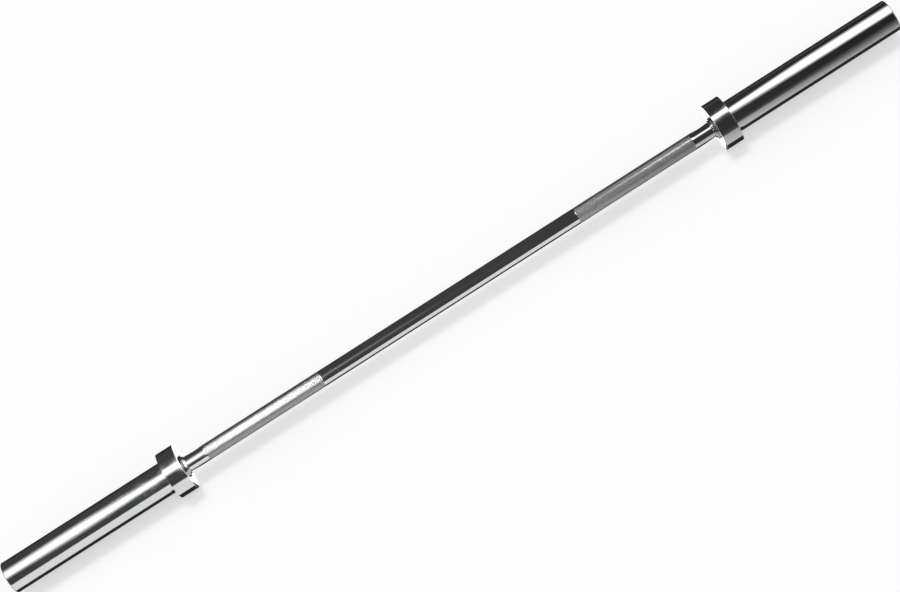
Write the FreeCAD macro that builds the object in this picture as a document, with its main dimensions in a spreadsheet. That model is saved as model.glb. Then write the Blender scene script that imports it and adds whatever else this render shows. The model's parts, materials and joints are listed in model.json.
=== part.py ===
import FreeCAD, Part
import os
import Sketcher

# Olympic barbell, 60 inches long. The shaft's middle is the origin and its axis is X.
# Each side is drawn with X running outwards, and the left side is the same turned half a turn about Z.

doc = FreeCAD.newDocument("Barbell")

# Driving dimensions in millimetres

SIZES = {
    "total_length": 1524,
    "grip_span": 914,
    "shaft_dia": 25,
    "knurl_length": 200,
    "knurl_depth": 0.3,
    "knurl_bevel": 0.5,
    "plain_band": 37,
    "sleeve_dia": 50,
    "sleeve_bore": 27,
    "sleeve_chamfer": 1,
    "collar_dia": 74,
    "collar_width": 28,
    "collar_chamfer": 1,
    "collar_seat_dia": 52,
    "collar_lip": 4,
    "relief_depth": 0.6,
    "bush_dia": 32,
    "bush_length": 30,
    "bush_chamfer": 0.6,
    "bush_groove_width": 4,
    "bush_groove_depth": 0.6,
    "running_gap": 0.05,
    "end_float": 0.3,
    "end_recess": 30,
    "washer_chamfer": 0.4,
    "washer_gap": 0.1,
    "thrust_dia": 36,
    "thrust_thickness": 2.5,
    "ring_thickness": 2,
    "ring_groove_dia": 23.9,
    "ring_groove_play": 0.15,
    "ring_dia": 29.4,
    "ring_offset": 0.1,
    "ring_gap": 4.4,
    "lug_dia": 6,
    "lug_circle_dia": 28.4,
    "lug_angle": 22,
    "lug_hole_dia": 2,
    "bronze_dia": 31.4,
    "bronze_thickness": 2,
    "retainer_dia": 31,
    "retainer_thickness": 4,
    "lock_dia": 18,
    "lock_thickness": 2.5,
    "lock_split": 1.6,
    "lock_slant": 25,
    "screw_dia": 12,
    "screw_length": 30,
    "screw_point": 1.2,
    "clearance_hole_dia": 12.6,
    "head_dia": 18,
    "head_height": 12,
    "head_chamfer": 0.8,
    "socket_flats": 10,
    "socket_depth": 6,
    "tapped_depth": 32,
    "drill_point": 3.5,
    "shaft_end_chamfer": 0.8,
}

sheet = doc.addObject("Spreadsheet::Sheet", "Sizes")
for row, (name, value) in enumerate(SIZES.items(), start=1):
    sheet.set(f"A{row}", name)
    sheet.set(f"B{row}", str(value))
    sheet.setAlias(f"B{row}", name)
doc.recompute()


def size(name):
    return f"Sizes.{name}"


def half(name):
    return f"Sizes.{name} / 2"


# Stations along the axis, from the middle outwards

COLLAR_INNER = half("grip_span")
COLLAR_OUTER = f"{COLLAR_INNER} + Sizes.collar_width"
COLLAR_STOP = f"{COLLAR_OUTER} - Sizes.collar_lip"
SLEEVE_END = half("total_length")
KNURL_OUTER = f"{COLLAR_INNER} - Sizes.plain_band"
KNURL_INNER = f"{KNURL_OUTER} - Sizes.knurl_length"
THRUST_OUTER = f"{COLLAR_INNER} - Sizes.end_float"
THRUST_INNER = f"{THRUST_OUTER} - Sizes.thrust_thickness"
RING_INNER = f"{THRUST_INNER} - Sizes.ring_thickness"
RING_GROOVE_OUTER = f"{THRUST_INNER} + Sizes.ring_groove_play"
INNER_BUSH_END = f"{COLLAR_INNER} + Sizes.bush_length"
OUTER_BUSH_END = f"{SLEEVE_END} - Sizes.end_recess"
OUTER_BUSH_START = f"{OUTER_BUSH_END} - Sizes.bush_length"
BRONZE_START = f"{OUTER_BUSH_END} + Sizes.end_float"
SHAFT_END = f"{BRONZE_START} + Sizes.bronze_thickness"
RETAINER_END = f"{SHAFT_END} + Sizes.retainer_thickness"
HEAD_START = f"{RETAINER_END} + Sizes.lock_thickness"
HEAD_END = f"{HEAD_START} + Sizes.head_height"
SCREW_TIP = f"{HEAD_START} - Sizes.screw_length"

SHAFT_RADIUS = half("shaft_dia")
BUSH_BORE = f"{SHAFT_RADIUS} + Sizes.running_gap"


def turn_to(side):
    """Placement of one side's pieces."""
    angle = 180 if side == "left" else 0
    return FreeCAD.Placement(FreeCAD.Vector(0, 0, 0), FreeCAD.Rotation(FreeCAD.Vector(0, 0, 1), angle))


def number(expression):
    """The value that an expression of the sheet has now, as a starting point for a sketch."""
    return float(sheet.evalExpression(expression))


def new_body(label):
    body = doc.addObject("PartDesign::Body", label)
    body.Label = label
    return body


def new_sketch(body, name, role):
    sketch = body.newObject("Sketcher::SketchObject", f"{body.Name}_{name}")
    plane = next(item for item in body.Origin.OriginFeatures if item.Role == role)
    sketch.AttachmentSupport = [(plane, "")]
    sketch.MapMode = "FlatFace"
    return sketch


def bind(sketch, kind, line, start, expression):
    """Holds a line's start at an expression's distance from the sketch's origin."""
    index = sketch.addConstraint(Sketcher.Constraint(kind, -1, 1, line, start, number(expression)))
    name = f"{kind}_{line}"
    sketch.renameConstraint(index, name)
    sketch.setExpression(f"Constraints.{name}", expression)


def draw_outline(sketch, corners):
    """Closed outline through corners, each an axial and a radial expression. A plain "0" lies on the axis."""
    points = [FreeCAD.Vector(number(x), number(r), 0) for x, r in corners]
    count = len(points)
    for index in range(count):
        sketch.addGeometry(Part.LineSegment(points[index], points[(index + 1) % count]), False)
    for index in range(count):
        sketch.addConstraint(Sketcher.Constraint("Coincident", index, 2, (index + 1) % count, 1))
    for index, (x, r) in enumerate(corners):
        if x == "0":
            sketch.addConstraint(Sketcher.Constraint("PointOnObject", index, 1, -2))
        else:
            bind(sketch, "DistanceX", index, 1, x)
        if r == "0":
            sketch.addConstraint(Sketcher.Constraint("PointOnObject", index, 1, -1))
        else:
            bind(sketch, "DistanceY", index, 1, r)


def turned_body(label, corners):
    """Body turned about X from an outline of axial and radial expressions."""
    body = new_body(label)
    sketch = new_sketch(body, "outline", "XZ_Plane")
    draw_outline(sketch, corners)
    turning = body.newObject("PartDesign::Revolution", f"{label}_turning")
    turning.Profile = sketch
    turning.ReferenceAxis = (sketch, ["H_Axis"])
    turning.Angle = 360
    sketch.Visibility = False
    return body, turning


def ring_corners(start, end, bore, rim, chamfer):
    """Outline of a plain ring with all four edges broken by the same chamfer."""
    return [
        (f"{start} + {chamfer}", bore),
        (f"{end} - ({chamfer})", bore),
        (end, f"{bore} + {chamfer}"),
        (end, f"{rim} - ({chamfer})"),
        (f"{end} - ({chamfer})", rim),
        (f"{start} + {chamfer}", rim),
        (start, f"{rim} - ({chamfer})"),
        (start, f"{bore} + {chamfer}"),
    ]


def make_shaft():
    """Half of the shaft is turned with its end tapped, then mirrored about the middle."""
    knurl_radius = f"{SHAFT_RADIUS} - Sizes.knurl_depth"
    bevel = size("knurl_bevel")
    ring_seat = half("ring_groove_dia")
    hole_radius = half("screw_dia")
    hole_end = f"{SHAFT_END} - Sizes.tapped_depth"
    edge = size("shaft_end_chamfer")
    corners = [
        ("0", "0"),
        ("0", SHAFT_RADIUS),
        (KNURL_INNER, SHAFT_RADIUS),
        (f"{KNURL_INNER} + {bevel}", knurl_radius),
        (f"{KNURL_OUTER} - {bevel}", knurl_radius),
        (KNURL_OUTER, SHAFT_RADIUS),
        (RING_INNER, SHAFT_RADIUS),
        (RING_INNER, ring_seat),
        (RING_GROOVE_OUTER, ring_seat),
        (RING_GROOVE_OUTER, SHAFT_RADIUS),
        (f"{SHAFT_END} - {edge}", SHAFT_RADIUS),
        (SHAFT_END, f"{SHAFT_RADIUS} - {edge}"),
        (SHAFT_END, f"{hole_radius} + {edge}"),
        (f"{SHAFT_END} - {edge}", hole_radius),
        (hole_end, hole_radius),
        (f"{hole_end} - Sizes.drill_point", "0"),
    ]
    body, turning = turned_body("shaft", corners)
    doc.recompute()
    mirror = body.newObject("PartDesign::Mirrored", "shaft_mirror")
    mirror.Originals = [turning]
    plane = next(item for item in body.Origin.OriginFeatures if item.Role == "YZ_Plane")
    mirror.MirrorPlane = (plane, [""])
    body.Tip = mirror
    return body


def make_sleeve(side):
    """Thick tube, counterbored for a bush at each end, with a larger inner end that stops the collar."""
    rim = half("sleeve_dia")
    seat = half("bush_dia")
    collar_seat = half("collar_seat_dia")
    relief = f"{rim} - Sizes.relief_depth"
    edge = size("sleeve_chamfer")
    corners = [
        (COLLAR_INNER, seat),
        (INNER_BUSH_END, seat),
        (INNER_BUSH_END, half("sleeve_bore")),
        (OUTER_BUSH_START, half("sleeve_bore")),
        (OUTER_BUSH_START, seat),
        (f"{SLEEVE_END} - {edge}", seat),
        (SLEEVE_END, f"{seat} + {edge}"),
        (SLEEVE_END, f"{rim} - {edge}"),
        (f"{SLEEVE_END} - {edge}", rim),
        (COLLAR_OUTER, rim),
        (COLLAR_OUTER, relief),
        (COLLAR_STOP, relief),
        (COLLAR_STOP, collar_seat),
        (COLLAR_INNER, collar_seat),
    ]
    return turned_body(f"{side}_sleeve", corners)[0]


def make_collar(side):
    """Ring pressed over the sleeve's inner end until its lip meets the sleeve's shoulder."""
    rim = half("collar_dia")
    seat = half("collar_seat_dia")
    lip = half("sleeve_dia")
    edge = size("collar_chamfer")
    corners = [
        (COLLAR_INNER, seat),
        (COLLAR_STOP, seat),
        (COLLAR_STOP, lip),
        (COLLAR_OUTER, lip),
        (COLLAR_OUTER, f"{rim} - {edge}"),
        (f"{COLLAR_OUTER} - {edge}", rim),
        (f"{COLLAR_INNER} + {edge}", rim),
        (COLLAR_INNER, f"{rim} - {edge}"),
    ]
    return turned_body(f"{side}_collar", corners)[0]


def make_bush(label, start, end):
    """Bronze bush with chamfered ends and a grease groove round its bore."""
    rim = half("bush_dia")
    edge = size("bush_chamfer")
    groove = f"{BUSH_BORE} + Sizes.bush_groove_depth"
    middle = f"({start} + {end}) / 2"
    groove_half = half("bush_groove_width")
    corners = [
        (start, f"{BUSH_BORE} + {edge}"),
        (f"{start} + {edge}", BUSH_BORE),
        (f"{middle} - {groove_half}", BUSH_BORE),
        (f"{middle} - {groove_half}", groove),
        (f"{middle} + {groove_half}", groove),
        (f"{middle} + {groove_half}", BUSH_BORE),
        (f"{end} - {edge}", BUSH_BORE),
        (end, f"{BUSH_BORE} + {edge}"),
        (end, f"{rim} - {edge}"),
        (f"{end} - {edge}", rim),
        (f"{start} + {edge}", rim),
        (start, f"{rim} - {edge}"),
    ]
    return turned_body(label, corners)[0]


def make_washer(label, start, end, bore, rim):
    return turned_body(label, ring_corners(start, end, bore, rim, size("washer_chamfer")))[0]


def draw_hexagon(sketch, across_flats):
    """Regular hexagon about the sketch's origin, held by the circle through its corners."""
    radius = f"{across_flats} / sqrt(3)"
    reach = number(radius)
    spoke = FreeCAD.Vector(reach, 0, 0)
    turn = FreeCAD.Rotation(FreeCAD.Vector(0, 0, 1), 60)
    points = [spoke]
    for _ in range(5):
        points.append(turn.multVec(points[-1]))
    for index in range(6):
        sketch.addGeometry(Part.LineSegment(points[index], points[(index + 1) % 6]), False)
    circle = sketch.addGeometry(Part.Circle(FreeCAD.Vector(0, 0, 0), FreeCAD.Vector(0, 0, 1), reach), True)
    sketch.addConstraint(Sketcher.Constraint("Coincident", circle, 3, -1, 1))
    for index in range(6):
        sketch.addConstraint(Sketcher.Constraint("Coincident", index, 2, (index + 1) % 6, 1))
        sketch.addConstraint(Sketcher.Constraint("PointOnObject", index, 1, circle))
    for index in range(1, 6):
        sketch.addConstraint(Sketcher.Constraint("Equal", 0, index))
    sketch.addConstraint(Sketcher.Constraint("PointOnObject", 0, 1, -1))
    held = sketch.addConstraint(Sketcher.Constraint("Radius", circle, reach))
    sketch.renameConstraint(held, "corner_radius")
    sketch.setExpression("Constraints.corner_radius", radius)


def make_screw(side):
    """Socket head cap screw, its head outwards, with the thread's outside left plain."""
    label = f"{side}_end_screw"
    shank = half("screw_dia")
    point = size("screw_point")
    head = half("head_dia")
    edge = size("head_chamfer")
    corners = [
        (SCREW_TIP, "0"),
        (SCREW_TIP, f"{shank} - {point}"),
        (f"{SCREW_TIP} + {point}", shank),
        (HEAD_START, shank),
        (HEAD_START, head),
        (f"{HEAD_END} - {edge}", head),
        (HEAD_END, f"{head} - {edge}"),
        (HEAD_END, "0"),
    ]
    body = turned_body(label, corners)[0]
    doc.recompute()
    sketch = new_sketch(body, "socket", "YZ_Plane")
    sketch.setExpression("AttachmentOffset.Base.z", HEAD_END)
    draw_hexagon(sketch, size("socket_flats"))
    pocket = body.newObject("PartDesign::Pocket", f"{label}_socket")
    pocket.Profile = sketch
    pocket.Type = "Length"
    pocket.setExpression("Length", size("socket_depth"))
    sketch.Visibility = False
    body.Tip = pocket
    return body


def cylinder(name, radius, length):
    solid = doc.addObject("Part::Cylinder", name)
    solid.setExpression("Radius", radius)
    solid.setExpression("Height", length)
    return solid


def joined(kind, name, base, tool):
    result = doc.addObject(f"Part::{kind}", name)
    result.Base = base
    result.Tool = tool
    return result


def fused(name, solids):
    result = doc.addObject("Part::MultiFuse", name)
    result.Shapes = solids
    return result


def set_on_axis(solid, side, start, spin):
    """Turns a solid drawn about Z on to the bar's axis, its base at the inner station."""
    upright = FreeCAD.Rotation(FreeCAD.Vector(0, 1, 0), 90)
    about_axis = FreeCAD.Rotation(FreeCAD.Vector(1, 0, 0), spin)
    rotation = turn_to(side).Rotation.multiply(about_axis).multiply(upright)
    solid.Placement = FreeCAD.Placement(FreeCAD.Vector(0, 0, 0), rotation)
    sign = "-" if side == "left" else ""
    solid.setExpression("Placement.Base.x", f"{sign}({start})")


def make_snap_ring(side):
    """External retaining ring: thicker opposite its gap, with two pierced lugs beside the gap."""
    label = f"{side}_snap_ring"
    thickness = size("ring_thickness")
    rim = cylinder(f"{label}_rim", half("ring_dia"), thickness)
    rim.setExpression("Placement.Base.x", f"-({size('ring_offset')})")
    lugs = []
    holes = []
    for name, sign in (("a", ""), ("b", "-")):
        along = "Sizes.lug_circle_dia / 2 * cos(Sizes.lug_angle * 1 deg)"
        across = f"{sign}(Sizes.lug_circle_dia / 2 * sin(Sizes.lug_angle * 1 deg))"
        lug = cylinder(f"{label}_lug_{name}", half("lug_dia"), thickness)
        hole = cylinder(f"{label}_hole_{name}", half("lug_hole_dia"), thickness)
        for piece in (lug, hole):
            piece.setExpression("Placement.Base.x", along)
            piece.setExpression("Placement.Base.y", across)
        lugs.append(lug)
        holes.append(hole)
    eye = cylinder(f"{label}_eye", half("ring_groove_dia"), thickness)
    gap = doc.addObject("Part::Box", f"{label}_gap")
    gap.setExpression("Length", size("ring_dia"))
    gap.setExpression("Width", size("ring_gap"))
    gap.setExpression("Height", thickness)
    gap.setExpression("Placement.Base.y", "-Sizes.ring_gap / 2")
    blank = fused(f"{label}_blank", [rim] + lugs)
    cuts = fused(f"{label}_cuts", [eye, gap] + holes)
    ring = joined("Cut", label, blank, cuts)
    ring.Label = label
    set_on_axis(ring, side, RING_INNER, 0)
    return ring


def make_lock_washer(side):
    """Spring lock washer pressed flat, with its slanting split."""
    label = f"{side}_lock_washer"
    thickness = size("lock_thickness")
    rim = cylinder(f"{label}_rim", half("lock_dia"), thickness)
    eye = cylinder(f"{label}_eye", half("clearance_hole_dia"), thickness)
    split = doc.addObject("Part::Box", f"{label}_split")
    split.setExpression("Length", size("lock_dia"))
    split.setExpression("Width", size("lock_split"))
    split.setExpression("Height", "Sizes.lock_thickness * 3")
    split.setExpression("Placement.Rotation.Axis.x", "1")
    split.setExpression("Placement.Rotation.Axis.z", "0")
    split.setExpression("Placement.Rotation.Angle", size("lock_slant"))
    split.setExpression("Placement.Base.y", "Sizes.lock_thickness / 2 * tan(Sizes.lock_slant * 1 deg)")
    split.setExpression("Placement.Base.z", "-Sizes.lock_thickness")
    cuts = fused(f"{label}_cuts", [eye, split])
    washer = joined("Cut", label, rim, cuts)
    washer.Label = label
    set_on_axis(washer, side, RETAINER_END, 180)
    return washer


def make_side(side):
    """All pieces at one end of the bar."""
    on_shaft = f"{SHAFT_RADIUS} + Sizes.washer_gap"
    on_screw = half("clearance_hole_dia")
    turned = [
        make_sleeve(side),
        make_collar(side),
        make_bush(f"{side}_inner_bush", COLLAR_INNER, INNER_BUSH_END),
        make_bush(f"{side}_outer_bush", OUTER_BUSH_START, OUTER_BUSH_END),
        make_washer(f"{side}_thrust_washer", THRUST_INNER, THRUST_OUTER, on_shaft, half("thrust_dia")),
        make_washer(f"{side}_bronze_washer", BRONZE_START, SHAFT_END, on_shaft, half("bronze_dia")),
        make_washer(f"{side}_retaining_washer", SHAFT_END, RETAINER_END, on_screw, half("retainer_dia")),
        make_screw(side),
    ]
    for body in turned:
        body.Placement = turn_to(side)
    return turned + [make_snap_ring(side), make_lock_washer(side)]


nodes = [make_shaft()] + make_side("left") + make_side("right")
doc.recompute()

for item in doc.Objects:
    if "Invalid" in item.State or "Error" in item.State:
        raise RuntimeError(f"{item.Label} did not build: {item.State}")
for node in nodes:
    if node.Shape.isNull() or not node.Shape.isValid() or len(node.Shape.Solids) != 1:
        raise RuntimeError(f"{node.Label} is not one valid solid")

os.makedirs("parts", exist_ok=True)
for node in nodes:
    node.Shape.exportStep(f"parts/{node.Label}.step")
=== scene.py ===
import json
import math
from collections import namedtuple

import bpy
from mathutils import Matrix, Vector


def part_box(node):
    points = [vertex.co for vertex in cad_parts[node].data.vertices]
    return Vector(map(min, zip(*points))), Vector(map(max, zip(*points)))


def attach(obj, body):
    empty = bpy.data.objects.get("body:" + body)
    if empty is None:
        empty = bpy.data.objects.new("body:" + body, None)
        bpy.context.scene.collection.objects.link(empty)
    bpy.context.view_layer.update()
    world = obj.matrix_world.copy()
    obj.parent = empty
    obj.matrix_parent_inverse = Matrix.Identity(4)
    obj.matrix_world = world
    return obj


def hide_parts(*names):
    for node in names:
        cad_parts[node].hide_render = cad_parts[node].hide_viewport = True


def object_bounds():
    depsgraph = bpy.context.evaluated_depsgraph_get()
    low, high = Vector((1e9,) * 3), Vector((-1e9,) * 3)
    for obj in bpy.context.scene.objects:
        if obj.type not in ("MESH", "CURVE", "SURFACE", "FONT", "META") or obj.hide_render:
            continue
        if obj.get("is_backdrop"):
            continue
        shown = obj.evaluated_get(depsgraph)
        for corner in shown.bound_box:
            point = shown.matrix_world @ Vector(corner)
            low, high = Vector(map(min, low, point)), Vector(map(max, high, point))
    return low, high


# Olympic barbell: a knurled shaft, and on each end a sleeve that spins on bushes behind its collar.
# The bar's axis is X. Its pieces are drawn in millimetres, and the studio in metres.

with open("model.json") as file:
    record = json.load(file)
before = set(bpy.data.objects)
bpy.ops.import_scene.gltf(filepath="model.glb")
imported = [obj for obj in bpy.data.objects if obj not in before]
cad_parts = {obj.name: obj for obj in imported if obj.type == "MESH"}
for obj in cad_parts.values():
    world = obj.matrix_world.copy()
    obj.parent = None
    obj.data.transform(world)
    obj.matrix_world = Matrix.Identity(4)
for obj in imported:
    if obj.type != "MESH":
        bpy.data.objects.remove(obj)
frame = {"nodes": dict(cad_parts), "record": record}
cad_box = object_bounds()
record = frame["record"]
mounts = {mount["name"]: mount for mount in record["mounts"]}
colours = {entry["slot"]: entry["base_color"] for entry in record["materials"]}

MM = 0.001
BAKE_MAP = "OFBake"

# Fineness of the meshes

SHAFT_COLUMNS = 96
SLEEVE_COLUMNS = 160
COLLAR_COLUMNS = 192
WASHER_COLUMNS = 128
SCREW_COLUMNS = 96
ARC_STEPS = 5
RING_STEPS = 240
RING_BEVEL_STEPS = 2
HOLE_STEPS = 32
THREAD_STEPS = 6
SHARP_ANGLE = math.radians(38)

# Finish of a face: smooth in the first material, or flat in the second

SMOOTH = 0
CUT = 1

# Edges and small forms. Lengths are in millimetres, and radii closer than SAME_RADIUS count as equal.

SAME_RADIUS = 0.01
GUARD = 0.12
SOFT_EDGE = 0.2
TURNED_EDGE = 0.35
BLANKED_EDGE = 0.3

KNURL_BEVEL = 0.5
KNURL_DEPTH = 0.12
KNURL_PITCH = 2.83
KNURL_FLAT_SHARE = 0.5
RING_GROOVE_DEPTH = 0.55
RING_GROOVE_PLAY = 0.15
SHAFT_CHAMFER = 0.8
TAPPED_RADIUS = 6
TAPPED_DEPTH = 32
DRILL_POINT = 3.5

SLEEVE_CHAMFER = 1
SLEEVE_BORE = 13.5
COLLAR_LIP = 4
COLLAR_EDGE = 0.5
RELIEF_DEPTH = 0.6
AXLE_CLEARANCE = 0.1
SCREW_CLEARANCE = 0.3

RING_RADIUS = 14.7
RING_OFFSET = 0.1
RING_HALF_GAP = 2.2
RING_BEVEL = 0.18
LUG_RADIUS = 3
LUG_CIRCLE = 14.2
LUG_ANGLE = math.radians(22)
LUG_HOLE = 1

HEAD_CHAMFER = 0.8
HEAD_GRIP_DEPTH = 0.22
HEAD_GRIP_START = 1.2
HEAD_GRIP_END = 2
SOCKET_SIDES = 6
SOCKET_FLATS = 10
SOCKET_DEPTH = 6
SOCKET_POINT = 1.4
SOCKET_MOUTH = 6.1
SOCKET_MOUTH_SLOPE = 0.6
SCREW_POINT = 1.2
THREAD_PITCH = 1.75
THREAD_DEPTH = 0.95
THREAD_FLAT_SHARE = 0.2


def extent(node):
    """Start, end and radius of a round node on the bar's axis, in millimetres."""
    low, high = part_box(node)
    return low.x / MM, high.x / MM, high.z / MM


# Mesh tools

Ring = namedtuple("Ring", "points x radius run")


class Skin:
    """Rings of points round the bar's axis and the faces between them, gathered for one mesh."""

    def __init__(self, columns):
        self.columns = columns
        self.points, self.faces, self.places, self.finishes = [], [], [], []
        self.last = None

    def point(self, x, radius, column):
        angle = math.tau * column / self.columns
        self.points.append(Vector((x, radius * math.cos(angle), radius * math.sin(angle))))
        return len(self.points) - 1

    def ring(self, x, radius, waves=None):
        """One ring. Where waves is given, it turns each column into that column's x and radius."""
        run = 0 if self.last is None else self.last[1] + (Vector((x, radius)) - self.last[0]).length
        self.last = (Vector((x, radius)), run)
        spots = [waves(column) if waves else (x, radius) for column in range(self.columns)]
        return Ring([self.point(*spot, column) for column, spot in enumerate(spots)], x, radius, run)

    def face(self, corners, places, finish=SMOOTH):
        self.faces.append(corners)
        self.places.append(places)
        self.finishes.append(finish)

    def band(self, first, second):
        for column in range(self.columns):
            after = (column + 1) % self.columns
            corners = [first.points[column], first.points[after]]
            corners += [second.points[after], second.points[column]]
            places = [(column, first.run), (column + 1, first.run)]
            places += [(column + 1, second.run), (column, second.run)]
            self.face(corners, places)

    def bands(self, rings):
        for first, second in zip(rings, rings[1:]):
            self.band(first, second)

    def point_of(self, ring, x, at_start):
        """Closes a ring with a cone whose point is on the axis."""
        tip = self.point(x, 0, 0)
        run = ring.run + (-1 if at_start else 1) * abs(x - ring.x)
        for column in range(self.columns):
            after = (column + 1) % self.columns
            corners = (ring.points[column], ring.points[after], tip)
            places = ((column, ring.run), (column + 1, ring.run), (column + 0.5, run))
            if at_start:
                corners, places = corners[::-1], places[::-1]
            self.face(corners, places)

    def mesh(self, name, *materials):
        mesh = bpy.data.meshes.new(name)
        mesh.from_pydata([point * MM for point in self.points], [], self.faces)
        runs = [run for places in self.places for _, run in places]
        low, length = min(runs), max(runs) - min(runs)
        layer = mesh.uv_layers.new(name=BAKE_MAP)
        spread = []
        for places in self.places:
            for column, run in places:
                spread += ((column + 1) / (self.columns + 2), (run - low) / length)
        layer.uv.foreach_set("vector", spread)
        mesh.polygons.foreach_set("material_index", self.finishes)
        for material in materials:
            mesh.materials.append(material)
        mesh.shade_smooth()
        mesh.set_sharp_from_angle(angle=SHARP_ANGLE)
        mesh.polygons.foreach_set("use_smooth", [finish == SMOOTH for finish in self.finishes])
        return mesh


def softened(corners):
    """Points along an outline of (x, radius, rounding) corners.

    Points at a distance of GUARD outside a rounding keep the flats flat.
    """
    points = []
    for i, (x, radius, rounding) in enumerate(corners):
        here = Vector((x, radius))
        if rounding == 0:
            points.append(here)
            continue
        back = (Vector(corners[i - 1][:2]) - here).normalized()
        ahead = (Vector(corners[(i + 1) % len(corners)][:2]) - here).normalized()
        points.append(here + back * (rounding + GUARD))
        for step in range(ARC_STEPS + 1):
            share = step / ARC_STEPS
            points.append(here + rounding * (back * (1 - share) ** 2 + ahead * share**2))
        points.append(here + ahead * (rounding + GUARD))
    return points


def turned_mesh(name, columns, corners, material):
    """A piece with a bore, turned from a closed section that runs outwards along its outside."""
    skin = Skin(columns)
    points = softened(corners)
    rings = [skin.ring(*point) for point in points + points[:1]]
    skin.bands(rings)
    weld = dict(zip(rings[-1].points, rings[0].points))
    skin.faces = [tuple(weld.get(corner, corner) for corner in face) for face in skin.faces]
    del skin.points[rings[-1].points[0]:]
    return skin.mesh(name, material)


# Materials. Noise lies mostly within NOISE_RANGE, and scuffs and wear show only its higher parts.

NOISE_RANGE = (0.3, 0.7)
SCUFF_RANGE = (0.56, 0.74)
WEAR_RANGE = (0.45, 0.8)
LINE_SHARE = 1 / 15
SCUFF_SHARE = 1 / 4


class Metal:
    """A metal finish and the patterns that drive its shader."""

    def __init__(self, name, slot):
        self.material = bpy.data.materials.new(name)
        self.material.use_nodes = True
        self.tree = self.material.node_tree
        self.shader = self.tree.nodes["Principled BSDF"]
        self.shader.inputs["Metallic"].default_value = 1
        self.place = self.tree.nodes.new("ShaderNodeTexCoord").outputs["Object"]
        self.colour = colours[slot]
        self.normal = None

    def node(self, kind, **settings):
        made = self.tree.nodes.new(kind)
        for name, value in settings.items():
            setattr(made, name, value)
        return made

    def link(self, source, target):
        self.tree.links.new(source, target)

    def noise(self, marks, detail):
        """A pattern from 0 to 1 with that many marks per metre along X, Y and Z."""
        stretch = self.node("ShaderNodeMapping")
        stretch.inputs["Scale"].default_value = marks
        pattern = self.node("ShaderNodeTexNoise")
        pattern.inputs["Scale"].default_value = 1
        pattern.inputs["Detail"].default_value = detail
        self.link(self.place, stretch.inputs["Vector"])
        self.link(stretch.outputs["Vector"], pattern.inputs["Vector"])
        return pattern.outputs["Fac"]

    def span(self, value, start, end, low, high):
        """The value's stretch from start to end, spread smoothly over low to high."""
        reach = self.node("ShaderNodeMapRange", interpolation_type="SMOOTHSTEP")
        for name, number in (("From Min", start), ("From Max", end), ("To Min", low), ("To Max", high)):
            reach.inputs[name].default_value = number
        self.link(value, reach.inputs["Value"])
        return reach.outputs["Result"]

    def sum(self, first, second):
        both = self.node("ShaderNodeMath", operation="ADD")
        self.link(first, both.inputs[0])
        self.link(second, both.inputs[1])
        return both.outputs["Value"]

    def distance_from_axis(self):
        """Millimetres from the bar's axis."""
        across = self.node("ShaderNodeVectorMath", operation="MULTIPLY")
        across.inputs[1].default_value = (0, 1 / MM, 1 / MM)
        length = self.node("ShaderNodeVectorMath", operation="LENGTH")
        self.link(self.place, across.inputs[0])
        self.link(across.outputs["Vector"], length.inputs[0])
        return length.outputs["Value"]

    def tint(self, value, dark, light):
        """Colours the metal from a darker to a lighter shade of its own colour."""
        mix = self.node("ShaderNodeMix", data_type="RGBA")
        for name, share in (("A", dark), ("B", light)):
            socket = next(s for s in mix.inputs if s.name == name and s.type == "RGBA")
            socket.default_value = [part * share for part in self.colour] + [1]
        self.link(value, mix.inputs["Factor"])
        result = next(s for s in mix.outputs if s.type == "RGBA")
        self.link(result, self.shader.inputs["Base Color"])

    def roughen(self, value):
        self.link(value, self.shader.inputs["Roughness"])

    def bump(self, height, depth):
        """Raises the surface by the pattern, up to that many millimetres."""
        made = self.node("ShaderNodeBump")
        made.inputs["Strength"].default_value = 1
        made.inputs["Distance"].default_value = depth * MM
        self.link(height, made.inputs["Height"])
        if self.normal:
            self.link(self.normal, made.inputs["Normal"])
        self.normal = made.outputs["Normal"]
        self.link(self.normal, self.shader.inputs["Normal"])


def polished_chrome(name, slot, dullness, scuffs, ripple, grain):
    """Bright plate over a ground bar, with fine grinding lines and lengthways scuffs.

    The ripple and the grain are depths in millimetres. Lines and scuffs are a share of the grain in depth.
    """
    metal = Metal(name, slot)
    waves = metal.noise((45, 70, 70), detail=2)
    lines = metal.noise((2600, 30, 30), detail=2)
    marks = metal.noise((22, 900, 900), detail=4)
    clouds = metal.noise((30, 60, 60), detail=5)
    metal.tint(clouds, dark=0.94, light=1.02)
    worn = metal.span(marks, *SCUFF_RANGE, low=0, high=scuffs)
    metal.roughen(metal.sum(metal.span(clouds, *NOISE_RANGE, low=dullness, high=2 * dullness), worn))
    metal.bump(waves, ripple)
    metal.bump(lines, grain * LINE_SHARE)
    metal.bump(marks, grain * SCUFF_SHARE)
    metal.bump(metal.noise((450, 700, 700), detail=3), grain)
    return metal.material


def knurled_chrome():
    """Plate over the diamonds, smooth and bright on their tops and rough in the grooves, with painted shade
    darkening the grooves.
    """
    metal = Metal("knurled_chrome", "shaft_chrome")
    radius = mounts["right_grip"]["dims"]["r_mm"]
    height = metal.distance_from_axis()
    # Painted shade: the colour darkens down the grooves and is darkest in their lower half.
    painted_groove_shade = metal.span(height, radius - KNURL_DEPTH / 2, radius, low=0, high=1)
    metal.tint(painted_groove_shade, dark=0.38, light=1)
    grain = metal.noise((500, 900, 900), detail=4)
    dull = metal.span(height, radius - KNURL_DEPTH, radius, low=0.3, high=0.04)
    metal.roughen(metal.sum(metal.span(grain, *NOISE_RANGE, low=0.1, high=0.2), dull))
    metal.bump(grain, depth=0.008)
    return metal.material


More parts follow.
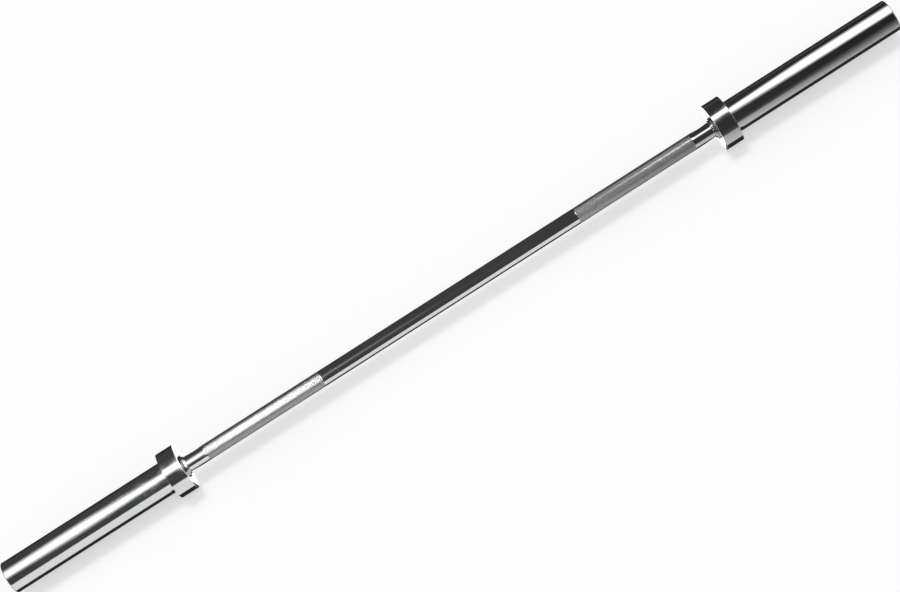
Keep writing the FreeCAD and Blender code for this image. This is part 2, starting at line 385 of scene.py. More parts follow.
def sintered_bronze():
    metal = Metal("sintered_bronze", "bronze")
    pores = metal.noise((2200, 2200, 2200), detail=5)
    stains = metal.noise((90, 90, 90), detail=4)
    metal.tint(stains, dark=0.72, light=1.1)
    metal.roughen(metal.span(pores, *NOISE_RANGE, low=0.55, high=0.34))
    metal.bump(pores, depth=0.03)
    return metal.material


def zinc_plate():
    metal = Metal("zinc_plate", "washer_steel")
    crystals = metal.noise((700, 700, 700), detail=4)
    stains = metal.noise((120, 120, 120), detail=4)
    metal.tint(stains, dark=1.05, light=1.3)
    metal.roughen(metal.span(crystals, *NOISE_RANGE, low=0.06, high=0.14))
    metal.bump(crystals, depth=0.0015)
    return metal.material


def spring_steel():
    metal = Metal("spring_steel", "spring_steel")
    grain = metal.noise((1400, 1400, 1400), detail=4)
    stains = metal.noise((200, 200, 200), detail=4)
    metal.tint(stains, dark=1.7, light=2.2)
    metal.roughen(metal.span(grain, *NOISE_RANGE, low=0.08, high=0.16))
    metal.bump(grain, depth=0.002)
    return metal.material


def black_oxide():
    metal = Metal("black_oxide", "screw_black")
    grain = metal.noise((1600, 1600, 1600), detail=4)
    wear = metal.noise((260, 260, 260), detail=4)
    metal.tint(metal.span(wear, *WEAR_RANGE, low=0, high=1), dark=0.8, light=2.2)
    metal.roughen(metal.span(grain, *NOISE_RANGE, low=0.3, high=0.48))
    metal.bump(grain, depth=0.006)
    return metal.material


# Shaft


def knurl(skin, first, last):
    """Flat-topped diamonds between two rings that lie at the bottom of the grooves."""
    rows = 2 * round((last.x - first.x) / KNURL_PITCH)
    step = (last.x - first.x) / rows
    top = mounts["right_grip"]["dims"]["r_mm"]
    bottom = top - KNURL_DEPTH
    crossings = {(0, column): point for column, point in enumerate(first.points)}
    crossings |= {(rows, column): point for column, point in enumerate(last.points)}
    for row in range(1, rows):
        for column in range(row % 2, skin.columns, 2):
            crossings[row, column] = skin.point(first.x + row * step, bottom, column)

    def corner(row, column):
        return crossings[row, column % skin.columns]

    def place(row, column):
        return (column, first.run + row * step)

    around = ((0, -1), (-1, 0), (0, 1), (1, 0))
    flats = [(KNURL_FLAT_SHARE * across, KNURL_FLAT_SHARE * along) for across, along in around]
    for row in range(rows + 1):
        for column in range((row + 1) % 2, skin.columns, 2):
            inside = [(row + across, column + along) for across, along in around]
            if row in (0, rows):
                spots = [spot if 0 <= spot[0] <= rows else (row, column) for spot in inside]
                skin.face([corner(*spot) for spot in spots], [place(*spot) for spot in spots], CUT)
                continue
            tops = [(row + across, column + along) for across, along in flats]
            raised = [skin.point(first.x + spot[0] * step, top, spot[1]) for spot in tops]
            skin.face(raised, [place(*spot) for spot in tops], CUT)
            for i in range(len(around)):
                outer, inner = (inside[i - 1], inside[i]), (tops[i], tops[i - 1])
                skin.face(
                    [corner(*spot) for spot in outer] + [raised[i], raised[i - 1]],
                    [place(*spot) for spot in outer + inner],
                    CUT,
                )


def shaft_mesh(plain, gripped):
    _, end, radius = extent("shaft")
    grip = mounts["right_grip"]
    grip_middle, grip_half = grip["pos_m"][0] / MM, grip["dims"]["length_mm"] / 2
    grip_start, grip_end = grip_middle - grip_half, grip_middle + grip_half
    valley = radius - KNURL_DEPTH
    groove_start, ring_end, _ = extent("right_snap_ring")
    groove_end, groove = ring_end + RING_GROOVE_PLAY, radius - RING_GROOVE_DEPTH
    right = [
        (grip_start, radius, SOFT_EDGE),
        (grip_start + KNURL_BEVEL, valley, 0),
        (grip_end - KNURL_BEVEL, valley, 0),
        (grip_end, radius, SOFT_EDGE),
        (groove_start, radius, SOFT_EDGE),
        (groove_start, groove, 0),
        (groove_end, groove, 0),
        (groove_end, radius, SOFT_EDGE),
        (end - SHAFT_CHAMFER, radius, SOFT_EDGE),
        (end, radius - SHAFT_CHAMFER, SOFT_EDGE),
        (end, TAPPED_RADIUS, SOFT_EDGE),
        (end - TAPPED_DEPTH, TAPPED_RADIUS, 0),
    ]
    left = [(-x, outline, rounding) for x, outline, rounding in reversed(right)]
    skin = Skin(SHAFT_COLUMNS)
    rings = [skin.ring(*point) for point in softened(left + right)]
    hole_end = end - TAPPED_DEPTH - DRILL_POINT
    skin.point_of(rings[0], -hole_end, at_start=True)
    for first, second in zip(rings, rings[1:]):
        if max(abs(ring.radius - valley) for ring in (first, second)) < SAME_RADIUS:
            knurl(skin, first, second)
        else:
            skin.band(first, second)
    skin.point_of(rings[-1], hole_end, at_start=False)
    return skin.mesh("shaft_bar", plain, gripped)


# Sleeve and collar


def sleeve_mesh(material):
    start, end, seat = extent("right_sleeve")
    _, inner_bush_end, bush = extent("right_inner_bush")
    outer_bush_start = extent("right_outer_bush")[0]
    collar_end = extent("right_collar")[1]
    radius = mounts["right_sleeve"]["dims"]["r_mm"]
    corners = [
        (start, seat, SOFT_EDGE),
        (collar_end - COLLAR_LIP, seat, SOFT_EDGE),
        (collar_end - COLLAR_LIP, radius - RELIEF_DEPTH, 0),
        (collar_end, radius - RELIEF_DEPTH, 0),
        (collar_end, radius, 0),
        (end - SLEEVE_CHAMFER, radius, TURNED_EDGE),
        (end, radius - SLEEVE_CHAMFER, TURNED_EDGE),
        (end, bush + SLEEVE_CHAMFER, TURNED_EDGE),
        (end - SLEEVE_CHAMFER, bush, TURNED_EDGE),
        (outer_bush_start, bush, 0),
        (outer_bush_start, SLEEVE_BORE, SOFT_EDGE),
        (inner_bush_end, SLEEVE_BORE, SOFT_EDGE),
        (inner_bush_end, bush, 0),
        (start, bush, SOFT_EDGE),
    ]
    return turned_mesh("sleeve_tube", SLEEVE_COLUMNS, corners, material)


def collar_mesh(material):
    start, end, rim = extent("right_collar")
    seat = extent("right_sleeve")[2]
    lip = mounts["right_sleeve"]["dims"]["r_mm"]
    corners = [
        (start, rim, COLLAR_EDGE),
        (end, rim, COLLAR_EDGE),
        (end, lip, SOFT_EDGE),
        (end - COLLAR_LIP, lip, SOFT_EDGE),
        (end - COLLAR_LIP, seat, 0),
        (start, seat, SOFT_EDGE),
    ]
    return turned_mesh("collar_ring", COLLAR_COLUMNS, corners, material)


# Washers, snap ring and screw


def washer_mesh(name, node, bore, material):
    """A blanked washer with its edges rounded."""
    start, end, rim = extent(node)
    outline = ((start, rim), (end, rim), (end, bore), (start, bore))
    corners = [(x, radius, BLANKED_EDGE) for x, radius in outline]
    return turned_mesh(name, WASHER_COLUMNS, corners, material)


def ring_edge(angle):
    """How far the snap ring reaches from the axis at an angle from the middle of its gap."""
    ray = Vector((math.sin(angle), math.cos(angle)))
    discs = [(Vector((0, -RING_OFFSET)), RING_RADIUS)]
    for side in (-1, 1):
        lug = LUG_CIRCLE * Vector((side * math.sin(LUG_ANGLE), math.cos(LUG_ANGLE)))
        discs.append((lug, LUG_RADIUS))
    reach = 0
    for centre, radius in discs:
        along = centre.dot(ray)
        room = radius**2 - centre.length_squared + along**2
        if room > 0:
            reach = max(reach, along + math.sqrt(room))
    return reach


def snap_ring_mesh(material):
    """A stamped ring with two holed lugs, drawn flat with its gap straight down and bevelled all round."""
    start, end, _ = extent("right_snap_ring")
    bore = extent("shaft")[2] - RING_GROOVE_DEPTH

    def sweep(radius_at):
        opening = math.asin(RING_HALF_GAP / radius_at(0))
        for step in range(RING_STEPS + 1):
            angle = opening + (math.tau - 2 * opening) * step / RING_STEPS
            yield radius_at(angle) * Vector((math.sin(angle), -math.cos(angle)))

    outlines = [[*sweep(ring_edge), *reversed(list(sweep(lambda angle: bore)))]]
    for side in (-1, 1):
        lug = LUG_CIRCLE * Vector((side * math.sin(LUG_ANGLE), -math.cos(LUG_ANGLE)))
        turns = [math.tau * step / HOLE_STEPS for step in range(HOLE_STEPS)]
        outlines.append([lug + LUG_HOLE * Vector((math.cos(turn), math.sin(turn))) for turn in turns])

    curve = bpy.data.curves.new("snap_ring_outline", "CURVE")
    curve.dimensions, curve.fill_mode = "2D", "BOTH"
    curve.extrude = (end - start) / 2 - RING_BEVEL
    curve.bevel_depth, curve.bevel_resolution = RING_BEVEL, RING_BEVEL_STEPS
    curve.offset = -RING_BEVEL
    for outline in outlines:
        spline = curve.splines.new("POLY")
        spline.points.add(len(outline) - 1)
        spline.points.foreach_set("co", [part for point in outline for part in (*point, 0, 1)])
        spline.use_cyclic_u = True
    drawing = bpy.data.objects.new("snap_ring_outline", curve)
    bpy.context.scene.collection.objects.link(drawing)
    mesh = bpy.data.meshes.new_from_object(drawing.evaluated_get(bpy.context.evaluated_depsgraph_get()))
    bpy.data.objects.remove(drawing)
    bpy.data.curves.remove(curve)
    upright = Matrix(((0, 0, 1, (start + end) / 2), (1, 0, 0, 0), (0, 1, 0, 0), (0, 0, 0, 1)))
    mesh.transform(Matrix.Scale(MM, 4) @ upright)
    mesh.materials.clear()
    mesh.materials.append(material)
    mesh.shade_smooth()
    mesh.set_sharp_from_angle(angle=SHARP_ANGLE)
    return mesh


def screw_mesh(material):
    """A socket head cap screw: threaded shank, ribbed head and hexagon socket."""
    tip, top, head = extent("right_end_screw")
    seat = extent("right_lock_washer")[1]
    shank = TAPPED_RADIUS
    skin = Skin(SCREW_COLUMNS)

    def thread(x):
        fade = max(0, min(1, (x - tip) / THREAD_PITCH, (seat - x) / THREAD_PITCH))

        def spot(column):
            turn = (x / THREAD_PITCH - column / SCREW_COLUMNS) % 1
            crest = min(1, (1 - abs(2 * turn - 1)) / (1 - THREAD_FLAT_SHARE))
            return x, shank - THREAD_DEPTH * (1 - crest * fade)

        return spot

    def ribs(x):
        return lambda column: (x, head - HEAD_GRIP_DEPTH * (column % 2))

    def hexagon(column):
        side = math.tau / SOCKET_SIDES
        turn = math.tau * column / SCREW_COLUMNS % side - side / 2
        return SOCKET_FLATS / 2 / math.cos(turn)

    def mouth(column):
        return top - SOCKET_MOUTH_SLOPE * (SOCKET_MOUTH - hexagon(column)), hexagon(column)

    rings = [skin.ring(tip, shank - SCREW_POINT)]
    turns = round((seat - tip) / THREAD_PITCH * THREAD_STEPS)
    for step in range(1, turns):
        x = tip + (seat - tip) * step / turns
        rings.append(skin.ring(x, shank, thread(x)))
    rings.append(skin.ring(seat, shank - THREAD_DEPTH))
    rib_start, rib_end = seat + HEAD_GRIP_START, top - HEAD_GRIP_END
    under = [
        (seat, shank - THREAD_DEPTH, 0),
        (seat, head - HEAD_GRIP_DEPTH, SOFT_EDGE),
        (rib_start, head - HEAD_GRIP_DEPTH, 0),
    ]
    over = [
        (rib_end, head - HEAD_GRIP_DEPTH, 0),
        (top - HEAD_CHAMFER, head - HEAD_GRIP_DEPTH, SOFT_EDGE),
        (top, head - HEAD_GRIP_DEPTH - HEAD_CHAMFER, SOFT_EDGE),
        (top, SOCKET_MOUTH, 0),
    ]
    rings += [skin.ring(*point) for point in softened(under)[1:]]
    for x in (rib_start + HEAD_GRIP_DEPTH, rib_end - HEAD_GRIP_DEPTH):
        rings.append(skin.ring(x, head, ribs(x)))
    rings += [skin.ring(*point) for point in softened(over)]
    mouth_depth = SOCKET_MOUTH_SLOPE * (SOCKET_MOUTH - SOCKET_FLATS / 2)
    rings.append(skin.ring(top - mouth_depth, SOCKET_FLATS / 2, mouth))
    floor = top - SOCKET_DEPTH + SOCKET_POINT
    rings.append(skin.ring(floor, SOCKET_FLATS / 2, lambda column: (floor, hexagon(column))))
    skin.point_of(rings[0], tip, at_start=True)
    skin.bands(rings)
    skin.point_of(rings[-1], floor - SOCKET_POINT, at_start=False)
    return skin.mesh("end_bolt", material)


# The pieces on their bodies


def add_piece(name, mesh, body, node, slot):
    piece = bpy.data.objects.new(name, mesh)
    bpy.context.scene.collection.objects.link(piece)
    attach(piece, body)
    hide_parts(node)


def dress_barbell():
    shaft_chrome = polished_chrome(
        "shaft_chrome", "shaft_chrome", dullness=0.012, scuffs=0.015, ripple=0.005, grain=0.0004
    )
    sleeve_chrome = {
        "right": polished_chrome(
            "right_sleeve_chrome", "sleeve_chrome", dullness=0.035, scuffs=0.05, ripple=0.03, grain=0.006
        ),
        "left": polished_chrome(
            "left_sleeve_chrome", "sleeve_chrome", dullness=0.06, scuffs=0.05, ripple=0.03, grain=0.014
        ),
    }
    bronze, zinc, spring, black = sintered_bronze(), zinc_plate(), spring_steel(), black_oxide()

    bar = shaft_mesh(shaft_chrome, knurled_chrome())
    add_piece("shaft_bar", bar, "shaft_assembly", "shaft", "shaft_chrome")

    axle = extent("shaft")[2] + AXLE_CLEARANCE
    thrust = washer_mesh("thrust_disc", "right_thrust_washer", axle, zinc)
    retainer = washer_mesh("retaining_disc", "right_retaining_washer", TAPPED_RADIUS + SCREW_CLEARANCE, zinc)
    shaft_pieces = (
        ("thrust_disc", thrust, "thrust_washer", "washer_steel"),
        ("snap_clip", snap_ring_mesh(spring), "snap_ring", "spring_steel"),
        ("retaining_disc", retainer, "retaining_washer", "washer_steel"),
        ("end_bolt", screw_mesh(black), "end_screw", "screw_black"),
    )
    sleeve_pieces = (
        ("sleeve_tube", sleeve_mesh(sleeve_chrome["right"]), "sleeve", "sleeve_chrome"),
        ("collar_ring", collar_mesh(sleeve_chrome["right"]), "collar", "sleeve_chrome"),
    )
    cad_finishes = {
        "inner_bush": bronze,
        "outer_bush": bronze,
        "bronze_washer": bronze,
        "lock_washer": spring,
    }

    for side, turn in (("right", 0), ("left", math.pi)):
        for body, pieces in (("shaft_assembly", shaft_pieces), (f"{side}_sleeve_assembly", sleeve_pieces)):
            for word, mesh, node, slot in pieces:
                own = mesh.copy()
                own.name = f"{side}_{word}"
                own.transform(Matrix.Rotation(turn, 4, "Z"))
                if node == "sleeve":
                    own.materials[0] = sleeve_chrome[side]
                add_piece(f"{side}_{word}", own, body, f"{side}_{node}", slot)
        for node, finish in cad_finishes.items():
            for entry in frame["nodes"][f"{side}_{node}"].material_slots:
                entry.material = finish


# Studio, in metres. Each fade is the stretch of X over which a glow changes.

WHITE = (1, 1, 1, 1)
ONE_FACE = [(0, 1, 2, 3)]

FLOOR_Z = cad_box[0].z
FLOOR_HALF = 40
FLOOR_SHADE = 0.8
FLOOR_GLOW = 0.53
WORLD_FILL = 0.38
SUN_STRENGTH = 0.6
SUN_TILT = math.radians(9)
SUN_WIDTH = math.radians(16)

CAMERA_HEIGHT = math.radians(54)
CAMERA_SIDE = math.radians(0.75)
CAMERA_DISTANCE = 3.4
PHOTO_WIDTH_PIXELS = 900
PIXELS_PER_METRE = 686.3
BAR_SLOPE = math.radians(32.57)
PHOTO_SHIFT_PIXELS = (0.85, 1.4)

DOME_RADIUS = 6
DOME_RINGS = 48
DARK_LEFT_GLOW = 0.065
DARK_RIGHT_GLOW = 0.025
DARK_FADE = (0.3, 1.8)
# A painted lighter reflection low down on the right of the dark studio:
RIGHT_LOW_GLOW = 0.09
RIGHT_LOW_FADE = (0.3, 2)
RIGHT_LOW_HEIGHT = 2
SIDE_GLOW = 0.4
SIDE_FADE = (3.2, 5.2)

# The fronts of the cards on the floor are places along Y. Each layer lies one CARD_RISE above the one below.
# A white card, a painted highlight, has its corners given as the distance inwards from its collar's face,
# and y.

CARD_RISE = 0.0005
GREY_CARD_LAYER = 1
PAINTED_SHADOW_LAYER = 2
COLLAR_HIGHLIGHT_LAYER = 3
CARD_HALF = 5
# The dark cards' glow and fronts are painted shadow in the chrome's reflections.
PAINTED_SHADOW_GLOW = 0.03
SHAFT_CARD_FRONT = -0.035
COLLAR_CARD_FRONT = -0.056
COLLAR_CARD_SPARE = 0.014
SLEEVE_CARD_FRONT = -0.049
# The grey card's glows are painted shade in the floor's reflection on the right.
GREY_CARD_FAR_GLOW = 0.1
GREY_CARD_NEAR_GLOW = 0.022
GREY_CARD_FADE = (0.2, 0.7)
# Painted highlight on the collars' inner faces: the white cards' glow and outline.
COLLAR_HIGHLIGHT_GLOW = 1.6
COLLAR_HIGHLIGHT_CARD = ((0, -0.02), (0, 0.16), (0.016, 0.16), (0.016, 0), (0.008, -0.004))
SIDE_CARD_GLOW = 1.5
SIDE_CARD_DISTANCE = 3.5
FRONT_CARD_GLOW = 0.95
FRONT_CARD_DISTANCE = 5
FRONT_CARD_TOP = 0.55
FRONT_CARD_END = -0.9

# A panel's column is fully lit from low to high and dark at its edges, in metres up from the panel's middle.
# Its x is the place on the bar that mirrors it to the camera.

PANEL_DISTANCE = 1.5
PANEL_HALF = 2.8
PANEL_ROWS = 80
PANEL_STEPS = 6
PanelColumn = namedtuple("PanelColumn", "x low_edge low high high_edge glow")
LEFT_PANEL_HEIGHT = CAMERA_HEIGHT + math.radians(26)
LEFT_PANEL = (
    PanelColumn(-1.45, -0.95, -0.1, 0.3, 1.65, 0),
    PanelColumn(-1.3, -0.95, -0.1, 0.3, 1.65, 3),
    PanelColumn(-0.9, -0.95, -0.1, 0.3, 1.65, 2),
    PanelColumn(-0.74, -0.95, -0.12, 0.3, 1.65, 2),
    PanelColumn(-0.63, -1.47, -0.13, 0.3, 1.9, 2),
    PanelColumn(-0.53, -1.05, -0.15, 0, 1.05, 2.2),
    PanelColumn(-0.486, -1, -0.15, 0, 0.95, 2.2),
    PanelColumn(-0.484, -0.78, -0.05, 0.1, 0.5, 4),
    PanelColumn(-0.458, -0.78, -0.05, 0.1, 0.5, 4),
    PanelColumn(-0.454, -1.6, -0.23, -0.22, 1.38, 2.2),
    PanelColumn(-0.42, -1.6, -0.23, -0.22, 1.38, 2.2),
    PanelColumn(-0.416, -2.8, -0.9, 0.6, 2.8, 12),
    PanelColumn(-0.38, -2.7, -0.4, 0.5, 2.8, 9),
    PanelColumn(-0.27, -2.8, -0.5, 0.2, 2.6, 7),
    PanelColumn(-0.222, -2.8, -0.9, 0.4, 2.6, 11),
    PanelColumn(-0.22, -1, -0.3, -0.2, 0.5, 0.3),
    PanelColumn(-0.14, -1.1, -0.35, -0.25, 0.45, 0.2),
    PanelColumn(0, -1.1, -0.4, -0.3, 0.3, 0.03),
    PanelColumn(0.2, -1.1, -0.4, -0.3, 0.3, 0),
)
RIGHT_PANEL_HEIGHT = CAMERA_HEIGHT + math.radians(36)
RIGHT_PANEL = (
    PanelColumn(0.221, 0, 0.38, 0.42, 0.8, 0),
    PanelColumn(0.23, 0, 0.38, 0.42, 0.8, 1.2),
    PanelColumn(0.32, -0.25, 0.15, 0.2, 0.6, 2.5),
    PanelColumn(0.419, -0.4, -0.02, 0.06, 0.45, 14),
    PanelColumn(0.423, -0.85, -0.12, -0.05, 0.5, 2),
    PanelColumn(0.454, -0.85, -0.12, -0.05, 0.5, 2),
    PanelColumn(0.458, -0.39, 0.15, 0.2, 0.58, 4),
    PanelColumn(0.484, -0.39, 0.15, 0.2, 0.58, 4),
    PanelColumn(0.486, -0.83, 0.09, 0.4, 1.1, 2.2),
    PanelColumn(0.52, -0.84, 0.09, 0.43, 1.2, 2.2),
    PanelColumn(0.62, -0.95, -0.17, 0.55, 1.9, 2.2),
    PanelColumn(0.74, -1, -0.33, 0.4, 1.7, 2.2),
    PanelColumn(1, -1, -0.33, 0.4, 1.7, 2.2),
    PanelColumn(1.35, -1, -0.33, 0.4, 1.7, 0),
)


class Glow:
    """The nodes of a stage material or of the world."""

    def __init__(self, owner):
        owner.use_nodes = True
        self.nodes, self.links = owner.node_tree.nodes, owner.node_tree.links
        self.nodes.clear()

    def node(self, kind, *sources, **settings):
        """A node with its first sockets fed from the sources, which are sockets or numbers."""
        made = self.nodes.new(kind)
        for name, value in settings.items():
            setattr(made, name, value)
        for socket, source in zip(made.inputs, sources):
            if isinstance(source, bpy.types.NodeSocket):
                self.links.new(source, socket)
            else:
                socket.default_value = source
        return made

    def span(self, value, start, end, low, high):
        return self.node("ShaderNodeMapRange", value, start, end, low, high).outputs["Result"]

    def math(self, operation, first, second):
        return self.node("ShaderNodeMath", first, second, operation=operation).outputs["Value"]

    def place(self):
        """X, Y and Z sockets of the surface in metres."""
        spot = self.node("ShaderNodeTexCoord").outputs["Object"]
        return self.node("ShaderNodeSeparateXYZ", spot).outputs

    def seen(self):
        """1 where the camera, a reflection or a see-through surface looks, and 0 for other light."""
        path = self.node("ShaderNodeLightPath").outputs
        either = self.math("MAXIMUM", path["Is Camera Ray"], path["Is Glossy Ray"])
        return self.math("MAXIMUM", either, path["Is Transmission Ray"])

    def emission(self, strength):
        return self.node("ShaderNodeEmission", WHITE, strength).outputs["Emission"]

    def finish(self, shader, kind="ShaderNodeOutputMaterial"):
        self.node(kind, shader)


def stage_object(name, points, faces, material):
    mesh = bpy.data.meshes.new(name)
    mesh.from_pydata(points, [], faces)
    mesh.materials.append(material)
    made = bpy.data.objects.new(name, mesh)
    bpy.context.scene.collection.objects.link(made)
    made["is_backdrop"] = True
    return made


def mirrored_only(thing):
    """Only reflections show it, as with studio cards that stand outside the picture."""
    thing.visible_camera = False
    thing.visible_diffuse = False
    thing.visible_transmission = False
    thing.visible_shadow = False


def sheet_corners(x_low, x_high, y_low, y_high, z):
    return [(x_low, y_low, z), (x_high, y_low, z), (x_high, y_high, z), (x_low, y_high, z)]


def add_cards(name, strength, outlines):
    """Cards of one even glow."""
    material = bpy.data.materials.new(name)
    glow = Glow(material)
    glow.finish(glow.emission(strength))
    for corners in outlines:
        mirrored_only(stage_object(name, corners, [range(len(corners))], material))


def make_floor():
    """A pale sheet that takes the shadow and glows towards the camera and the chrome."""
    material = bpy.data.materials.new("pale_floor")
    glow = Glow(material)
    matt = glow.node("ShaderNodeBsdfDiffuse", (FLOOR_SHADE, FLOOR_SHADE, FLOOR_SHADE, 1)).outputs["BSDF"]
    light = glow.emission(glow.math("MULTIPLY", glow.seen(), FLOOR_GLOW))
    glow.finish(glow.node("ShaderNodeAddShader", matt, light).outputs["Shader"])
    corners = sheet_corners(-FLOOR_HALF, FLOOR_HALF, -FLOOR_HALF, FLOOR_HALF, FLOOR_Z)
    stage_object("floor", corners, ONE_FACE, material)


def make_world():
    world = bpy.data.worlds.new("pale_room")
    bpy.context.scene.world = world
    glow = Glow(world)
    strength = glow.span(glow.seen(), 0, 1, WORLD_FILL, 1)
    sky = glow.node("ShaderNodeBackground", WHITE, strength).outputs["Background"]
    glow.finish(sky, "ShaderNodeOutputWorld")


def make_sun():
    """Soft light from overhead, a little behind the bar, for the floor and the shadow."""
    data = bpy.data.lights.new("overhead", "SUN")
    data.energy, data.angle = SUN_STRENGTH, SUN_WIDTH
    sun = bpy.data.objects.new("overhead", data)
    bpy.context.scene.collection.objects.link(sun)
    sun.rotation_euler = (-SUN_TILT, 0, 0)
    sun.visible_glossy = False


def darkness(glow):
    """The glow of the dark studio: less to the right, with a painted lighter reflection low down there, and
    paler beyond both ends.
    """
    place = glow.place()
    dim = glow.span(place["X"], *DARK_FADE, DARK_LEFT_GLOW, DARK_RIGHT_GLOW)
    # Painted reflection: lighter low down on the right.
    low = glow.span(place["Z"], FLOOR_Z, FLOOR_Z + RIGHT_LOW_HEIGHT, RIGHT_LOW_GLOW, 0)
    right_low_glow = glow.math("MULTIPLY", low, glow.span(place["X"], *RIGHT_LOW_FADE, 0, 1))
    sides = glow.span(glow.math("ABSOLUTE", place["X"], 0), *SIDE_FADE, 0, SIDE_GLOW)
    return glow.math("ADD", glow.math("ADD", dim, right_low_glow), sides)


def make_dark_studio():
    """What the chrome mirrors away from the lights and the floor: a dark dome."""
    material = bpy.data.materials.new("dark_studio")
    glow = Glow(material)
    glow.finish(glow.emission(darkness(glow)))
    columns = 2 * DOME_RINGS
    points, faces = [], []
    for ring in range(DOME_RINGS):
        height = math.pi / 2 * ring / DOME_RINGS
        flat = DOME_RADIUS * math.cos(height)
        z = FLOOR_Z + DOME_RADIUS * math.sin(height)
        for column in range(columns):
            turn = math.tau * column / columns
            points.append((flat * math.cos(turn), flat * math.sin(turn), z))
    for ring in range(DOME_RINGS - 1):
        low, high = columns * ring, columns * (ring + 1)
        for column in range(columns):
            after = (column + 1) % columns
            faces.append((low + column, low + after, high + after, high + column))
    faces.append(tuple(range(columns * (DOME_RINGS - 1), columns * DOME_RINGS)))
    mirrored_only(stage_object("dark_dome", points, faces, material))


def make_painted_shadow_cards():
    """Painted shadow: dark cards on the floor under and behind the bar, seen only in reflections, that put
    the bar's shadow, and a dark floor behind it, into the chrome. They are cut to the width of the shaft,
    the collars and the sleeves.
    """
    inner, outer = (corner.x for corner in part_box("right_collar"))
    outer += COLLAR_CARD_SPARE
    strips = (
        (-CARD_HALF, -outer, SLEEVE_CARD_FRONT),
        (-outer, -inner, COLLAR_CARD_FRONT),
        (-inner, inner, SHAFT_CARD_FRONT),
        (inner, outer, COLLAR_CARD_FRONT),
        (outer, CARD_HALF, SLEEVE_CARD_FRONT),
    )
    z = FLOOR_Z + PAINTED_SHADOW_LAYER * CARD_RISE
    outlines = [sheet_corners(start, end, front, CARD_HALF, z) for start, end, front in strips]
    add_cards("painted_shadow_card", PAINTED_SHADOW_GLOW, outlines)


def make_grey_card():
    """Painted shade in reflections: a card in front of the right half, seen only in the chrome, that dims
    the floor's reflection, more so far from the bar.
    """
    material = bpy.data.materials.new("grey_card")
    glow = Glow(material)
    clear = glow.node("ShaderNodeBsdfTransparent").outputs["BSDF"]
    place = glow.place()
    share = glow.span(place["X"], *GREY_CARD_FADE, 0, 1)
    near = glow.math("DIVIDE", -GREY_CARD_NEAR_GLOW, place["Y"])
    light = glow.emission(glow.math("ADD", near, GREY_CARD_FAR_GLOW))
    glow.finish(glow.node("ShaderNodeMixShader", share, clear, light).outputs["Shader"])
    z = FLOOR_Z + GREY_CARD_LAYER * CARD_RISE
    corners = sheet_corners(0, CARD_HALF, -CARD_HALF, SHAFT_CARD_FRONT, z)
    mirrored_only(stage_object("grey_card", corners, ONE_FACE, material))


def make_collar_highlight_cards():
    """Painted highlights: small bright cards on the floor beside the collars' inner faces, seen only in
    reflections, that make those faces shine white in the chrome.
    """
    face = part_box("right_collar")[0].x
    z = FLOOR_Z + COLLAR_HIGHLIGHT_LAYER * CARD_RISE
    outlines = [[(side * (face - inwards), y, z) for inwards, y in COLLAR_HIGHLIGHT_CARD] for side in (-1, 1)]
    add_cards("collar_highlight_card", COLLAR_HIGHLIGHT_GLOW, outlines)


def make_side_card():
    """A bright wall off the right end."""
    reach = SIDE_CARD_DISTANCE / 2
    outline = ((-reach, 0), (reach, 0), (reach, reach), (-reach, reach))
    add_cards("side_card", SIDE_CARD_GLOW, [[(SIDE_CARD_DISTANCE, y, z) for y, z in outline]])


def make_front_card():
    """A low bright wall far in front of the left end."""
    low, high = FLOOR_Z, FRONT_CARD_TOP
    outline = ((-CARD_HALF, low), (FRONT_CARD_END, low), (FRONT_CARD_END, high), (-CARD_HALF, high))
    add_cards("front_card", FRONT_CARD_GLOW, [[(x, -FRONT_CARD_DISTANCE, z) for x, z in outline]])


def panel_columns(corners):
    """The columns of a panel, with more of them in even steps between each two that are given."""
    yield corners[0]
    for first, second in zip(corners, corners[1:]):
        for step in range(1, PANEL_STEPS + 1):
            share = step / PANEL_STEPS
            yield PanelColumn(*(start + (end - start) * share for start, end in zip(first, second)))


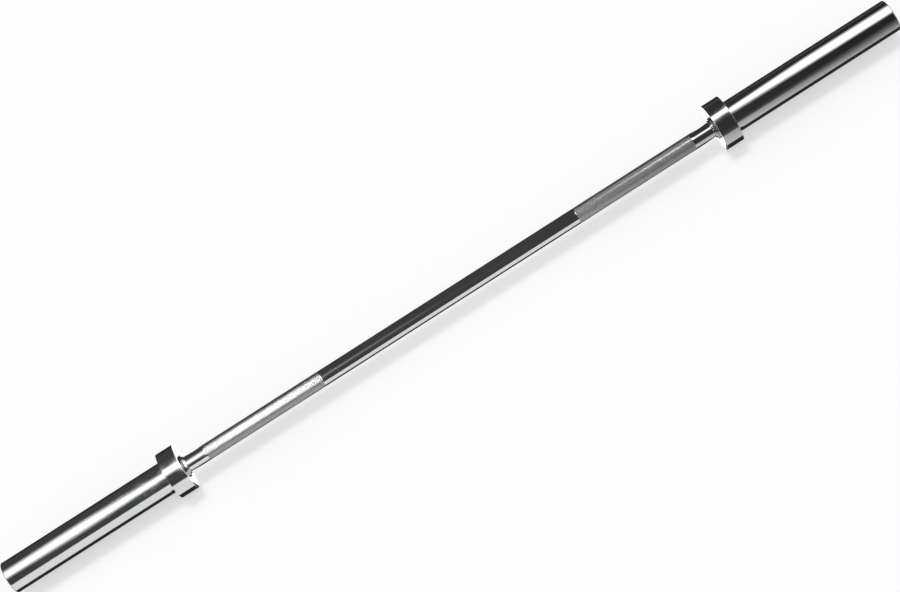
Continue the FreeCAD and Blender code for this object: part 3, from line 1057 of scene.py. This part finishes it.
def make_panel(name, height, corners):
    """A lit panel that faces the bar, at that angle above the front horizon."""
    material = bpy.data.materials.new(name)
    glow = Glow(material)
    clear = glow.node("ShaderNodeBsdfTransparent").outputs["BSDF"]
    root = glow.node("ShaderNodeAttribute", attribute_name="glow_root").outputs["Fac"]
    light = glow.emission(glow.math("MULTIPLY", root, root))
    glow.finish(glow.node("ShaderNodeAddShader", clear, light).outputs["Shader"])
    middle = PANEL_DISTANCE * Vector((0, -math.cos(height), math.sin(height)))
    upslope = Vector((0, math.sin(height), math.cos(height)))
    points, roots, faces = [], [], []
    for column in panel_columns(corners):
        for row in range(PANEL_ROWS + 1):
            up = PANEL_HALF * (2 * row / PANEL_ROWS - 1)
            away = math.hypot(PANEL_DISTANCE, up)
            across = column.x + column.x * away / CAMERA_DISTANCE - away * math.sin(CAMERA_SIDE)
            points.append(middle + Vector((across, 0, 0)) + up * upslope)
            rise = (up - column.low_edge) / (column.low - column.low_edge)
            fall = (column.high_edge - up) / (column.high_edge - column.high)
            roots.append(math.sqrt(column.glow) * max(0, min(1, rise, fall)))
    column_points = PANEL_ROWS + 1
    for corner in range(len(points) - column_points):
        if (corner + 1) % column_points:
            beside = corner + column_points
            faces.append((corner, beside, beside + 1, corner + 1))
    panel = stage_object(name, points, faces, material)
    panel.data.attributes.new("glow_root", "FLOAT", "POINT").data.foreach_set("value", roots)
    mirrored_only(panel)


def make_camera():
    """Looks at the bar's middle from a little to the side, rolled so that the bar climbs to the right."""
    data = bpy.data.cameras.new("camera")
    data.lens = PIXELS_PER_METRE * CAMERA_DISTANCE * data.sensor_width / PHOTO_WIDTH_PIXELS
    data.shift_x, data.shift_y = (pixels / PHOTO_WIDTH_PIXELS for pixels in PHOTO_SHIFT_PIXELS)
    camera = bpy.data.objects.new("camera", data)
    bpy.context.scene.collection.objects.link(camera)
    back = Vector((0, -math.cos(CAMERA_HEIGHT), math.sin(CAMERA_HEIGHT)))
    level = Vector((1, 0, 0))
    upright = back.cross(level)
    aside = Matrix.Rotation(CAMERA_SIDE, 3, upright)
    back, level = aside @ back, aside @ level
    right = math.cos(BAR_SLOPE) * level - math.sin(BAR_SLOPE) * upright
    up = back.cross(right)
    camera.matrix_world = Matrix((right, up, back)).transposed().to_4x4()
    camera.location = back * CAMERA_DISTANCE
    bpy.context.scene.camera = camera


dress_barbell()
make_floor()
make_world()
make_sun()
make_dark_studio()
make_painted_shadow_cards()
make_grey_card()
make_collar_highlight_cards()
make_side_card()
make_front_card()
make_panel("left_panel", LEFT_PANEL_HEIGHT, LEFT_PANEL)
make_panel("right_panel", RIGHT_PANEL_HEIGHT, RIGHT_PANEL)
make_camera()
bpy.context.scene.view_settings.view_transform = "Standard"

visual_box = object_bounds()
boxes = {"cad": cad_box, "visual": visual_box}
{name: [list(corner) for corner in box] for name, box in boxes.items()}
